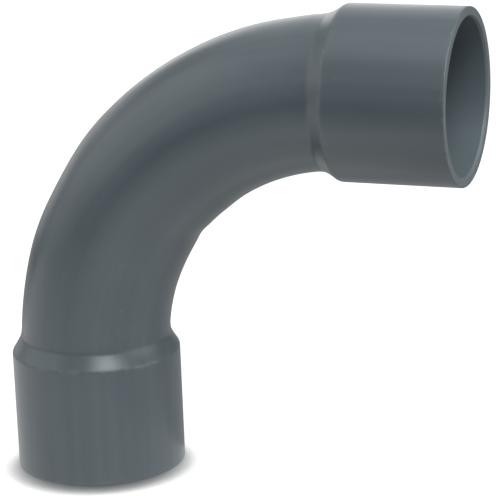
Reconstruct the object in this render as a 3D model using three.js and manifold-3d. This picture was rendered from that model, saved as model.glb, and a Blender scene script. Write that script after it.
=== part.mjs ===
// Ninety-degree PVC conduit elbow for a 50 mm duct.
//
// A length of plain pipe is bent through a right angle, and each end is opened out over a mandrel
// into a plain socket that takes the next pipe. Mouth, straight bore, short cone, pipe: that is the
// whole of each end. The pipe and its two sockets are separate bodies here, divided at the two
// necks where the cones meet the pipe.
//
// Millimetres, +Z up. The lower mouth lies on the plane z = 0 and opens downwards, the upper mouth
// opens along +X, and both socket axes lie in the plane y = 0. The origin is the middle of the
// underside of the bounding box.

import * as THREE from "three";
import { mergeVertices } from "three/addons/utils/BufferGeometryUtils.js";
import Module from "manifold-3d";

// Driving dimensions
const pipeRadius = 25.0;
const pipeWall = 3.7;
const socketBoreRadius = 25.15;
const socketWall = 3.2;
const socketDepth = 39.4;
const coneLength = 5.2;
const centreToMouth = 130.9;

// Edges and small swellings
const shoulderSwell = 0.2;
const shoulderBlend = 1.3;
const rimOuterBevel = 0.4;
const boreLeadWidth = 0.4;
const boreLeadDepth = 0.9;

// Clearance between bodies that meet
const neckGap = 0.3;

// Facets
const roundSegments = 48;
const bendSteps = 24;
const blendSegments = 4;

// Derived sizes
const pipeBoreRadius = pipeRadius - pipeWall;
const mouthRadius = socketBoreRadius + socketWall;
const shoulderRadius = mouthRadius + shoulderSwell;
const neckHeight = socketDepth + coneLength;
const bendRadius = centreToMouth - socketDepth;
const coneAngle = Math.atan2(shoulderRadius - pipeRadius, coneLength);
const boreConeStart = socketDepth - socketWall * Math.tan(coneAngle / 2);
const boreConeEnd = neckHeight - pipeWall * Math.tan(coneAngle / 2);
const boxCentreX = (centreToMouth - shoulderRadius) / 2;

const greyPvc = { color: 0x5b646a, roughness: 0.42, metalness: 0.0 };

const wasm = await Module();
wasm.setup();

function toSolid(geometry) {
  const bare = geometry.clone();
  bare.deleteAttribute("normal");
  bare.deleteAttribute("uv");
  const merged = mergeVertices(bare, 1e-4);
  const vertProperties = new Float32Array(merged.attributes.position.array);
  const triVerts = new Uint32Array(merged.index.array);
  return new wasm.Manifold(new wasm.Mesh({ numProp: 3, vertProperties, triVerts }));
}

function toGeometry(solid) {
  const mesh = solid.getMesh();
  const geometry = new THREE.BufferGeometry();
  geometry.setAttribute("position", new THREE.BufferAttribute(mesh.vertProperties, 3));
  geometry.setIndex(new THREE.BufferAttribute(mesh.triVerts, 1));
  geometry.computeVertexNormals();
  return geometry;
}

// Centreline of the bent pipe: a quarter circle that starts square to the lower socket at its
// shoulder and ends square to the upper socket at its own.
class BendCentreline extends THREE.Curve {
  getPoint(t, target = new THREE.Vector3()) {
    const turn = t * Math.PI / 2;
    const x = bendRadius * (1 - Math.cos(turn));
    const z = socketDepth + bendRadius * Math.sin(turn);
    return target.set(x, 0, z);
  }
}

// The pipe's ring section swept round the bend, then cut flush with both neck planes.
function bendTubeGeometry() {
  const ring = new THREE.Shape();
  ring.absarc(0, 0, pipeRadius, 0, 2 * Math.PI);
  const bore = new THREE.Path();
  bore.absarc(0, 0, pipeBoreRadius, 0, 2 * Math.PI);
  ring.holes.push(bore);
  const sweep = new THREE.ExtrudeGeometry(ring, {
    steps: bendSteps,
    curveSegments: roundSegments / 2,
    extrudePath: new BendCentreline(),
  });

  // The kept region reaches past the pipe on every side but the two necks.
  const reach = 2 * centreToMouth;
  const keptRegion = new THREE.BoxGeometry(reach, reach, reach);
  const cutX = centreToMouth - neckHeight - neckGap;
  const cutZ = neckHeight + neckGap;
  keptRegion.translate(cutX - reach / 2, 0, cutZ + reach / 2);
  return toGeometry(toSolid(sweep).intersect(toSolid(keptRegion)));
}

// One socket as a closed profile turned about its axis: mouth at height 0, neck at neckHeight.
function socketGeometry() {
  const coneUnit = new THREE.Vector2(pipeRadius - shoulderRadius, coneLength).normalize();
  const blendEnd = new THREE.Vector2(shoulderRadius, socketDepth).addScaledVector(coneUnit, shoulderBlend);

  const profile = new THREE.Path();
  profile.moveTo(socketBoreRadius + boreLeadWidth, 0);
  profile.lineTo(mouthRadius - rimOuterBevel, 0);
  profile.lineTo(mouthRadius, rimOuterBevel);
  profile.lineTo(shoulderRadius, socketDepth - shoulderBlend);
  profile.quadraticCurveTo(shoulderRadius, socketDepth, blendEnd.x, blendEnd.y);
  profile.lineTo(pipeRadius, neckHeight);
  profile.lineTo(pipeBoreRadius, neckHeight);
  profile.lineTo(pipeBoreRadius, boreConeEnd);
  profile.lineTo(socketBoreRadius, boreConeStart);
  profile.lineTo(socketBoreRadius, boreLeadDepth);
  profile.lineTo(socketBoreRadius + boreLeadWidth, 0);
  return new THREE.LatheGeometry(profile.getPoints(blendSegments), roundSegments);
}

function namedMesh(name, geometry) {
  const mesh = new THREE.Mesh(geometry, new THREE.MeshStandardMaterial(greyPvc));
  mesh.name = name;
  return mesh;
}

const bendTube = namedMesh("bend_tube", bendTubeGeometry());

// The lathe turns about Y, so the lower socket tips up onto Z and the upper one lies down along X.
const lowerSocket = namedMesh("lower_socket", socketGeometry());
lowerSocket.rotation.x = Math.PI / 2;

const upperSocket = namedMesh("upper_socket", socketGeometry());
upperSocket.rotation.z = Math.PI / 2;
upperSocket.position.set(centreToMouth, 0, centreToMouth);

const elbow = new THREE.Group();
elbow.add(bendTube, lowerSocket, upperSocket);
elbow.position.x = -boxCentreX;

export default elbow;
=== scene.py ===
"""Looks of a ninety-degree PVC conduit elbow: one length of grey pipe, bent hot, its ends belled.

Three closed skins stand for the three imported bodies: the bent pipe and its two sockets. They meet
tangentially just past each neck, so the wall runs on unbroken as it does on the real pipe. Metres,
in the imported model's frame: the lower mouth is on z = 0 and the upper mouth opens along +X.
"""

import math
from collections import namedtuple

import bmesh
import bpy
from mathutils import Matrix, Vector


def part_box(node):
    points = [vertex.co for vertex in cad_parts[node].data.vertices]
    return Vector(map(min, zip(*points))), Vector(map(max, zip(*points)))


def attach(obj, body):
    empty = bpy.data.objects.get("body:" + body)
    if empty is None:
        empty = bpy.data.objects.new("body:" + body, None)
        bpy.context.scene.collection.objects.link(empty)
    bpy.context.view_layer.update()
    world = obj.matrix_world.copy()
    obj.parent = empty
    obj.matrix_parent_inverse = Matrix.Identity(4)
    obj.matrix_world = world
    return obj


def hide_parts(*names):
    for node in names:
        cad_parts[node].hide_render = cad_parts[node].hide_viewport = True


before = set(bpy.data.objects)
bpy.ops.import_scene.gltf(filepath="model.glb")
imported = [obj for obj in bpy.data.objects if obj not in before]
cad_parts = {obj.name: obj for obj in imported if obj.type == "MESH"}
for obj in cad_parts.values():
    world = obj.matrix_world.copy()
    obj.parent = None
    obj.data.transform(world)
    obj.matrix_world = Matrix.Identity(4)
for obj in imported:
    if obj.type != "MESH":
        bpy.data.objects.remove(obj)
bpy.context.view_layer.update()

MM = 0.001

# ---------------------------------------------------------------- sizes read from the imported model

lower_lo, lower_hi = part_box("lower_socket")
upper_lo, upper_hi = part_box("upper_socket")
bend_lo, bend_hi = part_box("bend_tube")

AXIS_X = (lower_lo.x + lower_hi.x) / 2
CENTRE_TO_MOUTH = (upper_lo.z + upper_hi.z) / 2
NECK = lower_hi.z
PIPE_RADIUS = (bend_hi.y - bend_lo.y) / 2

# Sizes inside those boxes
PIPE_WALL = 3.7 * MM
SOCKET_WALL = 3.2 * MM
SOCKET_BORE = 25.15 * MM
SOCKET_DEPTH = 39.4 * MM
PIPE_BORE = PIPE_RADIUS - PIPE_WALL
MOUTH_RADIUS = SOCKET_BORE + SOCKET_WALL
BEND_RADIUS = CENTRE_TO_MOUTH - SOCKET_DEPTH
CONE_ANGLE = math.atan2(MOUTH_RADIUS - PIPE_RADIUS, NECK - SOCKET_DEPTH)
BORE_CONE_START = SOCKET_DEPTH - SOCKET_WALL * math.tan(CONE_ANGLE / 2)
BORE_CONE_END = NECK - PIPE_WALL * math.tan(CONE_ANGLE / 2)

# How far each corner of the socket's outline is rounded back along its sides
NECK_EASE = 0.8 * MM
SHOULDER_EASE = 0.7 * MM
RIM_EASE = 0.45 * MM
LEAD_EASE = 0.15 * MM

# Whatever lies lower than this on a socket's outline is its rim's face
RIM_FACE = RIM_EASE / 10

# The neck is filled out a little where the pipe curves away, on the inside and outside of the bend
NECK_FILL = 0.38 * MM
NECK_FILL_REACH = 1.7 * MM

# The lead-in scraped round the mouth of each bore
LEAD_WIDTH = 0.4 * MM
LEAD_DEPTH = 0.9 * MM

# How far the band painted lighter reaches either side of the shoulder and up from the rim's edge:
# scuffs, and at the shoulder also a painted highlight line
WEAR_AND_HIGHLIGHT_REACH = 0.6 * MM

# Where the skins of the sockets end and that of the bend begins
SEAM = NECK + NECK_EASE

# Mesh fineness, and how close two points are before they count as one
ROUND_STEPS = 144
BEND_STEPS = 120
EASE_STEPS = 7
LONGEST_STEP = 1.2 * MM
SAME_PLACE = 0.001 * MM

# Over how many rings the forming marks fade in from each end of the bend
FADE_STEPS = BEND_STEPS / 12

# Faces that meet at less than this angle are shaded as one smooth surface
SMOOTH_ANGLE = math.radians(60)

# ---------------------------------------------------------------- camera

# Angles in degrees, lengths in metres, lens and sensor in millimetres
CAMERA_AZIMUTH = 20.48
CAMERA_ELEVATION = 15.75
CAMERA_ROLL = -2.15
CAMERA_DISTANCE = 0.8184
CAMERA_AIM = Vector((0.004895, 0.0, 0.07753))
SENSOR_WIDTH = 36.0
LENS = 181.66
NEAREST_SEEN = 0.01
FARTHEST_SEEN = 50


def outward(azimuth, elevation):
    """The direction at an azimuth, counted from -Y towards +X, and an elevation, in degrees."""
    azimuth, elevation = math.radians(azimuth), math.radians(elevation)
    return Vector((
        math.sin(azimuth) * math.cos(elevation),
        -math.cos(azimuth) * math.cos(elevation),
        math.sin(elevation),
    ))


def make_camera():
    azimuth, roll = math.radians(CAMERA_AZIMUTH), math.radians(CAMERA_ROLL)
    back = outward(CAMERA_AZIMUTH, CAMERA_ELEVATION)
    level = Vector((math.cos(azimuth), math.sin(azimuth), 0))
    upright = back.cross(level)
    right = level * math.cos(roll) + upright * math.sin(roll)
    up = upright * math.cos(roll) - level * math.sin(roll)
    data = bpy.data.cameras.new("camera")
    data.lens = LENS
    data.sensor_width = SENSOR_WIDTH
    data.clip_start = NEAREST_SEEN
    data.clip_end = FARTHEST_SEEN
    camera = bpy.data.objects.new("camera", data)
    bpy.context.scene.collection.objects.link(camera)
    matrix = camera.matrix_world.copy()
    for column, vector in enumerate((right, up, back, CAMERA_AIM + back * CAMERA_DISTANCE)):
        for row in range(3):
            matrix[row][column] = vector[row]
    camera.matrix_world = matrix
    bpy.context.scene.camera = camera


make_camera()

# ---------------------------------------------------------------- geometry


def smoothstep(value, start, end):
    share = min(max((value - start) / (end - start), 0), 1)
    return share * share * (3 - 2 * share)


def rounded_outline(corners):
    """Points along an outline of (radius, height, ease) corners, each rounded back by its ease."""
    places = [Vector((radius, height)) for radius, height, _ in corners]
    points = []
    for index, (place, corner) in enumerate(zip(places, corners)):
        ease = corner[2]
        if ease == 0:
            points.append(place)
            continue
        before = place + (places[index - 1] - place).normalized() * ease
        after = place + (places[index + 1] - place).normalized() * ease
        for step in range(EASE_STEPS + 1):
            t = step / EASE_STEPS
            points.append(before * (1 - t) ** 2 + place * 2 * t * (1 - t) + after * t ** 2)
    divided = [points[0]]
    for start, end in zip(points, points[1:]):
        length = (end - start).length
        if length > SAME_PLACE:
            pieces = math.ceil(length / LONGEST_STEP)
            divided += [start.lerp(end, part / pieces) for part in range(1, pieces + 1)]
    return divided


def turn_at_height(height, phi, radius):
    """How far round the bend the pipe's surface at phi is, where it reaches a socket height."""
    return math.asin((height - SOCKET_DEPTH) / (BEND_RADIUS - radius * math.cos(phi)))


def on_bend(turn, phi, radius):
    """A point of the bent pipe. phi is 0 on the inside of the bend."""
    arm = BEND_RADIUS - radius * math.cos(phi)
    return Vector((
        AXIS_X + BEND_RADIUS - arm * math.cos(turn),
        radius * math.sin(phi),
        SOCKET_DEPTH + arm * math.sin(turn),
    ))


# Marks left by bending the hot pipe by hand round a former: where they are along the bend and
# round the pipe in degrees, how wide they are both ways, and how proud they stand in millimetres.
FORMING_MARKS = (
    (38.5, 0, 3.4, 42, -0.52),
    (51.0, 0, 4.5, 40, 0.24),
    (27.0, 5, 7.0, 45, 0.15),
    (20.0, 190, 6.0, 60, 0.26),
    (31.0, 190, 5.0, 60, -0.26),
    (41.0, 190, 5.0, 60, 0.16),
    (60.0, 185, 9.0, 60, -0.13),
    (81.0, 180, 5.0, 60, -0.22),
)


def forming(turn, phi):
    """How proud of the true torus the formed pipe stands."""
    proud = 0
    for mark_turn, mark_phi, turn_width, phi_width, height in FORMING_MARKS:
        along = (math.degrees(turn) - mark_turn) / turn_width
        around = (math.degrees(phi) - mark_phi + 180) % 360 - 180
        proud += height * MM * math.exp(-along ** 2 - (around / phi_width) ** 2)
    return proud


def neck_fill(height, phi):
    """How far the outside of the neck is filled out at a socket height."""
    away = (height - NECK) / NECK_FILL_REACH
    return NECK_FILL * math.cos(phi) ** 2 * math.exp(-away ** 2)


# A point of a skin, with what its material needs to know there: where it would lie on the pipe
# before bending, in millimetres with Z along the pipe, and how far it counts as bore (painted paler
# as painted light), as cut face and as worn edge (scuffs, and at the shoulder a painted highlight).
Spot = namedtuple("Spot", "place unbent bore cut worn")


def wear_and_highlight(height):
    """How much a socket's outside is painted lighter at a height, most at its shoulder and rim's
    edge: scuffs, and at the shoulder also a painted highlight.
    """
    return sum(math.exp(-((height - edge) / WEAR_AND_HIGHLIGHT_REACH) ** 2) for edge in (SOCKET_DEPTH, 0))


def ring_angles():
    return [2 * math.pi * step / ROUND_STEPS for step in range(ROUND_STEPS)]


def unbent_place(inside, phi, along):
    radius = PIPE_BORE if inside else PIPE_RADIUS
    return Vector((radius * math.cos(phi), radius * math.sin(phi), along)) / MM


def socket_rings():
    """The lower socket's rings from its seam down the outside, round the rim and up the bore."""
    outline = rounded_outline((
        (PIPE_RADIUS, SEAM, 0),
        (PIPE_RADIUS, NECK, NECK_EASE),
        (MOUTH_RADIUS, SOCKET_DEPTH, SHOULDER_EASE),
        (MOUTH_RADIUS, 0, RIM_EASE),
        (SOCKET_BORE + LEAD_WIDTH, 0, LEAD_EASE),
        (SOCKET_BORE, LEAD_DEPTH, LEAD_EASE),
        (SOCKET_BORE, BORE_CONE_START, SHOULDER_EASE),
        (PIPE_BORE, BORE_CONE_END, NECK_EASE),
        (PIPE_BORE, SEAM, 0),
    ))
    rim = [index for index, (_, height) in enumerate(outline) if height < RIM_FACE]
    rings = []
    for index, (radius, height) in enumerate(outline):
        outside = index < rim[0]
        in_bore = index > rim[-1]
        cut = not outside and height < LEAD_DEPTH - LEAD_EASE
        worn = wear_and_highlight(height) if outside else 0.0
        follow = smoothstep(height, SOCKET_DEPTH, NECK)
        ring = []
        for phi in ring_angles():
            grown = radius + neck_fill(height, phi) if outside else radius
            x = AXIS_X + grown * math.cos(phi)
            along = height
            if follow:
                turn = turn_at_height(height, phi, grown)
                x += follow * (on_bend(turn, phi, grown).x - x)
                along = SOCKET_DEPTH + BEND_RADIUS * turn
            place = Vector((x, grown * math.sin(phi), height))
            unbent = unbent_place(in_bore, phi, along)
            ring.append(Spot(place, unbent, float(in_bore), float(cut), worn))
        rings.append(ring)
    return rings


def mirrored(rings):
    """The same rings on the upper socket, reflected in the plane that halves the bend."""
    length = (2 * SOCKET_DEPTH + BEND_RADIUS * math.pi / 2) / MM
    return [
        [
            spot._replace(
                place=Vector((
                    AXIS_X + CENTRE_TO_MOUTH - spot.place.z,
                    spot.place.y,
                    CENTRE_TO_MOUTH + AXIS_X - spot.place.x,
                )),
                unbent=Vector((spot.unbent.x, spot.unbent.y, length - spot.unbent.z)),
            )
            for spot in ring
        ]
        for ring in rings
    ]


def bend_rings():
    """The bent pipe's rings along the outside from the lower seam, and back along the bore."""
    rings = []
    for in_bore, steps in (
        (False, range(BEND_STEPS + 1)),
        (True, range(BEND_STEPS, -1, -1)),
    ):
        radius = PIPE_BORE if in_bore else PIPE_RADIUS
        for step in steps:
            ring = []
            for phi in ring_angles():
                start = turn_at_height(SEAM, phi, radius)
                turn = start + (math.pi / 2 - 2 * start) * step / BEND_STEPS
                formed = smoothstep(min(step, BEND_STEPS - step), 0, FADE_STEPS)
                grown = radius + formed * forming(turn, phi)
                if not in_bore:
                    height = on_bend(min(turn, math.pi / 2 - turn), phi, radius).z
                    grown += neck_fill(height, phi)
                unbent = unbent_place(in_bore, phi, SOCKET_DEPTH + BEND_RADIUS * turn)
                ring.append(Spot(on_bend(turn, phi, grown), unbent, float(in_bore), 0.0, 0.0))
            rings.append(ring)
    return rings


def pipe_skin(name, rings, replaced):
    """A closed mesh through the rings, the last joined to the first, that stands for a CAD node."""
    count = len(rings)
    spots = [spot for ring in rings for spot in ring]
    faces = []
    for row in range(count):
        for step in range(ROUND_STEPS):
            here, beside = row * ROUND_STEPS, (row + 1) % count * ROUND_STEPS
            after = (step + 1) % ROUND_STEPS
            faces.append((here + step, here + after, beside + after, beside + step))
    mesh = bpy.data.meshes.new(name)
    mesh.from_pydata([spot.place for spot in spots], [], faces)
    unbent = mesh.attributes.new("unbent", "FLOAT_VECTOR", "POINT")
    unbent.data.foreach_set("vector", [value for spot in spots for value in spot.unbent])
    for trait in ("bore", "cut", "worn"):
        values = mesh.attributes.new(trait, "FLOAT", "POINT")
        values.data.foreach_set("value", [getattr(spot, trait) for spot in spots])
    shape = bmesh.new()
    shape.from_mesh(mesh)
    bmesh.ops.recalc_face_normals(shape, faces=shape.faces)
    for face in shape.faces:
        face.smooth = True
    for edge in shape.edges:
        edge.smooth = edge.calc_face_angle() < SMOOTH_ANGLE
    shape.to_mesh(mesh)
    shape.free()
    skin = bpy.data.objects.new(name, mesh)
    bpy.context.scene.collection.objects.link(skin)
    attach(skin, "root")
    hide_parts(replaced)
    return skin


lower_rings = socket_rings()
skins = [
    pipe_skin("lower_socket_skin", lower_rings, "lower_socket"),
    pipe_skin("upper_socket_skin", mirrored(lower_rings), "upper_socket"),
    pipe_skin("bend_tube_skin", bend_rings(), "bend_tube"),
]

# ---------------------------------------------------------------- material

# The streaks' and clouds' tone is blended between the dark and the light over this range of noise
TONE_LOW = 0.30
TONE_HIGH = 0.70

PVC_DARK = (0.0575, 0.0750, 0.0865, 1)
PVC_LIGHT = (0.0775, 0.1000, 0.1135, 1)
# Painted light: the bore is painted paler than the pipe, to stand in for light reaching inside it
BORE_PAINTED_LIGHT_GREY = (0.110, 0.137, 0.153, 1)
CUT_DARK = (0.096, 0.114, 0.126, 1)
CUT_LIGHT = (0.144, 0.164, 0.176, 1)
# Scratches and scuffs are painted in this grey; at the shoulders the scuffs are also a painted
# highlight line
SCUFF_AND_HIGHLIGHT_GREY = (0.150, 0.172, 0.184, 1)

ROUGHNESS_LOW = 0.275
ROUGHNESS_HIGH = 0.335
PVC_IOR = 1.54

# Scratches lie in three directions: degrees about Y, and how finely the noise that makes them is
# spaced across them. Along them it is spaced far more coarsely.
SCRATCHES = ((28, 900), (-47, 1100), (82, 1000))
SCRATCH_RUN = 26


class Graph:
    """One node material, with a short call for each kind of node that it uses."""

    def __init__(self, name):
        self.material = bpy.data.materials.new(name)
        self.material.use_nodes = True
        self.shader = self.material.node_tree.nodes["Principled BSDF"]

    def plug(self, node, socket, value):
        if isinstance(value, bpy.types.NodeSocket):
            self.material.node_tree.links.new(value, node.inputs[socket])
        else:
            node.inputs[socket].default_value = value

    def node(self, kind, inputs=(), **settings):
        node = self.material.node_tree.nodes.new(kind)
        for setting, value in settings.items():
            setattr(node, setting, value)
        for socket, value in dict(inputs).items():
            self.plug(node, socket, value)
        return node

    def attribute(self, name):
        return self.node("ShaderNodeAttribute", attribute_name=name)

    def noise(self, vector, scale, detail):
        inputs = {"Vector": vector, "Scale": scale, "Detail": detail}
        return self.node("ShaderNodeTexNoise", inputs).outputs["Fac"]

    def scaled(self, vector, x, y, z):
        node = self.node("ShaderNodeVectorMath", operation="MULTIPLY")
        self.plug(node, 0, vector)
        self.plug(node, 1, (x, y, z))
        return node.outputs["Vector"]

    def turned(self, vector, degrees):
        """The place turned about the Y axis, which is square to the plane of the bend."""
        inputs = {"Vector": vector, "Axis": (0, 1, 0), "Angle": math.radians(degrees)}
        return self.node("ShaderNodeVectorRotate", inputs).outputs["Vector"]

    def ranged(self, value, low, high, out_low=0.0, out_high=1.0):
        inputs = {
            "Value": value,
            "From Min": low,
            "From Max": high,
            "To Min": out_low,
            "To Max": out_high,
        }
        return self.node("ShaderNodeMapRange", inputs).outputs["Result"]

    def blend(self, share, first, second):
        inputs = {"Factor": share, "A": first, "B": second}
        return self.node("ShaderNodeMix", inputs, data_type="RGBA").outputs["Result"]

    def maths(self, operation, first, second, third=0.0):
        node = self.node("ShaderNodeMath", operation=operation)
        for socket, value in enumerate((first, second, third)):
            self.plug(node, socket, value)
        return node.outputs["Value"]

    def total(self, value, shares):
        """The value, with each pattern of a list added to it by its own amount."""
        for pattern, amount in shares:
            value = self.maths("MULTIPLY_ADD", pattern, amount, value)
        return value


def scratch_pattern(graph, place):
    """Fine straight scratches in a few directions, in patches where the pipe has been handled."""
    scratches = 0.0
    for angle, spacing in SCRATCHES:
        stretched = graph.scaled(graph.turned(place, angle), spacing, spacing, SCRATCH_RUN)
        lines = graph.ranged(graph.noise(stretched, scale=1, detail=1), low=0.72, high=0.80)
        scratches = graph.maths("MAXIMUM", lines, scratches)
    patches = graph.noise(place, scale=48, detail=2)
    handled = graph.ranged(patches, low=0.50, high=0.66, out_low=0.05)
    return graph.maths("MULTIPLY", scratches, handled)


def pvc_material():
    """Grey PVC, streaked along the pipe, scuffed on its edges with a painted highlight at the
    shoulders, painted paler in the bore as painted light, and paler where cut.
    """
    graph = Graph("grey_pvc_skin")
    place = graph.node("ShaderNodeTexCoord").outputs["Object"]
    unbent = graph.attribute("unbent").outputs["Vector"]
    bore = graph.attribute("bore").outputs["Fac"]
    cut = graph.attribute("cut").outputs["Fac"]
    worn = graph.attribute("worn").outputs["Fac"]

    cloud = graph.noise(place, scale=26, detail=4)
    broad_streaks = graph.noise(graph.scaled(unbent, 0.24, 0.24, 0.007), scale=1, detail=2)
    fine_streaks = graph.noise(graph.scaled(unbent, 1.5, 1.5, 0.02), scale=1, detail=3)
    saw_lines = graph.noise(graph.scaled(place, 90, 2600, 90), scale=1, detail=3)
    swell = graph.noise(place, scale=62, detail=1)
    grain = graph.noise(place, scale=2800, detail=2)
    scratches = scratch_pattern(graph, place)
    chafed = graph.ranged(graph.noise(place, scale=420, detail=3), low=0.42, high=0.62)
    # Scuffs at the shoulders and rim edges, which at the shoulders also paint a highlight line
    scuffs_and_highlight = graph.maths("MULTIPLY", worn, chafed)
    tone = graph.total(0.0, ((cloud, 0.50), (broad_streaks, 0.50)))

    colour = graph.blend(graph.ranged(tone, TONE_LOW, TONE_HIGH), PVC_DARK, PVC_LIGHT)
    # The bore is painted paler here as painted light
    for pattern, strength, grey in (
        (bore, 0.80, BORE_PAINTED_LIGHT_GREY),
        (scratches, 0.40, SCUFF_AND_HIGHLIGHT_GREY),
        (scuffs_and_highlight, 0.32, SCUFF_AND_HIGHLIGHT_GREY),
    ):
        colour = graph.blend(graph.maths("MULTIPLY", pattern, strength), colour, grey)
    colour = graph.blend(cut, colour, graph.blend(saw_lines, CUT_DARK, CUT_LIGHT))
    graph.plug(graph.shader, "Base Color", colour)

    sheen = graph.ranged(tone, TONE_LOW, TONE_HIGH, ROUGHNESS_LOW, ROUGHNESS_HIGH)
    roughness = graph.total(sheen, (
        (fine_streaks, 0.05),
        (bore, 0.10),
        (scratches, 0.08),
        (scuffs_and_highlight, 0.12),
        (cut, 0.28),
    ))
    graph.plug(graph.shader, "Roughness", roughness)

    # Heights in millimetres
    relief = graph.total(0.0, (
        (swell, 0.10),
        (fine_streaks, 0.004),
        (grain, 0.0025),
        (scratches, -0.001),
        (graph.maths("MULTIPLY", cut, saw_lines), 0.03),
    ))
    bump = graph.node("ShaderNodeBump", {"Height": relief, "Strength": 1.0, "Distance": MM})
    graph.plug(graph.shader, "Normal", bump.outputs["Normal"])
    graph.plug(graph.shader, "IOR", PVC_IOR)
    return graph.material


pvc = pvc_material()
for skin in skins:
    skin.data.materials.append(pvc)

# ---------------------------------------------------------------- floor, world and lights

# How near to the object the floor begins to darken, and the way that shade faces: back and a little
# left, so that it is deeper in front of the object than beside or behind it. The power and the gain
# shape how quickly it clears to white.
CONTACT_SHADOW = 12 * MM
CONTACT_FACING = (-0.30, 0.81, 0.50)
CONTACT_POWER = 4
CONTACT_GAIN = 2

# How much light the backdrop gives off: with the world's light on it, just enough to be pure white
BACKDROP_GLOW = 0.85
WORLD_GLOW = 0.34

# How many metres the backdrop reaches each way, and the heights its walls stand between
BACKDROP_REACH = 8
WALL_FOOT = -1
WALL_TOP = 7
FLOOR_HEIGHT = -0.05 * MM

# Softboxes stand this far from a point in the middle of the object, in metres, and face it
SOFTBOX_DISTANCE = 1.1
SOFTBOX_AIM = Vector((0, 0, 0.08))


def plain_graph(name, shade, glow):
    """A matt grey material with a glow of its own."""
    graph = Graph(name)
    for socket, value in (
        ("Base Color", (shade, shade, shade, 1)),
        ("Roughness", 0.9),
        ("Specular IOR Level", 0.2),
        ("Emission Color", (1, 1, 1, 1)),
        ("Emission Strength", glow),
    ):
        graph.plug(graph.shader, socket, value)
    return graph


def stage_mesh(name, vertices, faces, material):
    mesh = bpy.data.meshes.new(name)
    mesh.from_pydata(vertices, [], faces)
    mesh.materials.append(material)
    piece = bpy.data.objects.new(name, mesh)
    bpy.context.scene.collection.objects.link(piece)
    return piece


def corners_between(low, high):
    return ((low[0], low[1]), (high[0], low[1]), (high[0], high[1]), (low[0], high[1]))


def stage_plane(name, low, high, height, material):
    vertices = [(x, y, height) for x, y in corners_between(low, high)]
    return stage_mesh(name, vertices, [(0, 1, 2, 3)], material)


def floor_material():
    """White, and darker where the object stands close to it."""
    graph = plain_graph("floor_white", 1.0, BACKDROP_GLOW)
    facing = graph.node("ShaderNodeNormal").outputs["Normal"]
    facing.default_value = CONTACT_FACING
    inputs = {"Distance": CONTACT_SHADOW, "Normal": facing}
    nearness = graph.node("ShaderNodeAmbientOcclusion", inputs)
    glow = graph.maths("POWER", nearness.outputs["AO"], CONTACT_POWER)
    glow = graph.maths("MULTIPLY", glow, CONTACT_GAIN)
    glow = graph.maths("MINIMUM", glow, BACKDROP_GLOW)
    graph.plug(graph.shader, "Base Color", nearness.outputs["Color"])
    graph.plug(graph.shader, "Emission Strength", glow)
    return graph.material


# Only the camera sees the white floor and the white walls round it. The object's gloss sees evenly
# glowing sheets on a dark table, which stand in for a lit floor: bright in front of it and to its
# left, dimmer on the right and behind.
near_corner = (-BACKDROP_REACH, -BACKDROP_REACH)
far_corner = (BACKDROP_REACH, BACKDROP_REACH)
floor = stage_plane("floor", near_corner, far_corner, FLOOR_HEIGHT, floor_material())
walls = stage_mesh(
    "walls",
    [(x, y, z) for z in (WALL_FOOT, WALL_TOP) for x, y in corners_between(near_corner, far_corner)],
    [(side, (side + 1) % 4, (side + 1) % 4 + 4, side + 4) for side in range(4)],
    plain_graph("walls_white", 1.0, BACKDROP_GLOW).material,
)
for backdrop in (floor, walls):
    backdrop.visible_glossy = False
    backdrop.visible_diffuse = False
    backdrop.visible_shadow = False

# Each sheet's lowest and highest x and y in metres, its height and its glow
SHEET_SHADE = 0.02
SHEETS = (
    ("sheet_left", (-4.00, -0.30), (-0.06, 0.10), -1.0 * MM, 1.00),
    ("sheet_front", (-0.06, -0.30), (0.03, 0.02), -1.0 * MM, 0.96),
    ("sheet_right", (0.03, -0.30), (0.45, 0.02), -1.0 * MM, 0.72),
    ("sheet_back", (-0.50, 0.02), (0.45, 0.40), -1.5 * MM, 0.48),
    ("sheet_far", (-4.00, 0.40), (0.10, 4.00), -1.5 * MM, 0.33),
    ("dark_table", near_corner, far_corner, -2.0 * MM, 0.0),
)
# The sheets are nearly black and glow of their own, as painted light in place of a lit floor
for name, low, high, height, glow in SHEETS:
    sheet = stage_plane(name, low, high, height, plain_graph(name, SHEET_SHADE, glow).material)
    sheet.visible_camera = False
    sheet.visible_shadow = False

lit = bpy.data.collections.new("lit_by_softboxes")
for skin in skins:
    lit.objects.link(skin)


def softbox(name, azimuth, elevation, width, height, power, colour=(1, 1, 1)):
    """A rectangular light in that direction, which faces the object and lights nothing else."""
    back = outward(azimuth, elevation)
    data = bpy.data.lights.new(name, "AREA")
    data.shape = "RECTANGLE"
    data.size = width
    data.size_y = height
    data.energy = power
    data.color = colour
    light = bpy.data.objects.new(name, data)
    light.location = SOFTBOX_AIM + back * SOFTBOX_DISTANCE
    light.rotation_euler = back.to_track_quat("Z", "Y").to_euler()
    light.visible_camera = False
    light.light_linking.receiver_collection = lit
    bpy.context.scene.collection.objects.link(light)


# Each softbox's azimuth and elevation in degrees, width and height in metres, and power in watts
softbox("key", 35, 46, 0.48, 0.34, 4.9, colour=(0.93, 1.0, 0.99))
softbox("front_high", 0, 75, 0.80, 0.80, 1.4)
softbox("front_right", 31, 15, 0.56, 0.50, 0.3)
softbox("right", 90, 60, 1.10, 0.70, 5.6)
softbox("right_low", 90, 15, 1.00, 0.60, 3.0)
softbox("back_right", 205, 15, 0.56, 0.50, 1.35)
softbox("back_high", 205, 42, 0.56, 0.50, 0.65)
softbox("back_left", 232, 8, 0.56, 0.50, 0.65)
softbox("left", 290, 28, 1.20, 0.90, 2.9)
softbox("high_left", 262, 62, 0.90, 0.70, 0.9)

world = bpy.data.worlds.new("studio")
world.use_nodes = True
background = world.node_tree.nodes["Background"]
background.inputs["Color"].default_value = (1, 1, 1, 1)
background.inputs["Strength"].default_value = WORLD_GLOW

scene = bpy.context.scene
scene.world = world
scene.view_settings.view_transform = "Standard"
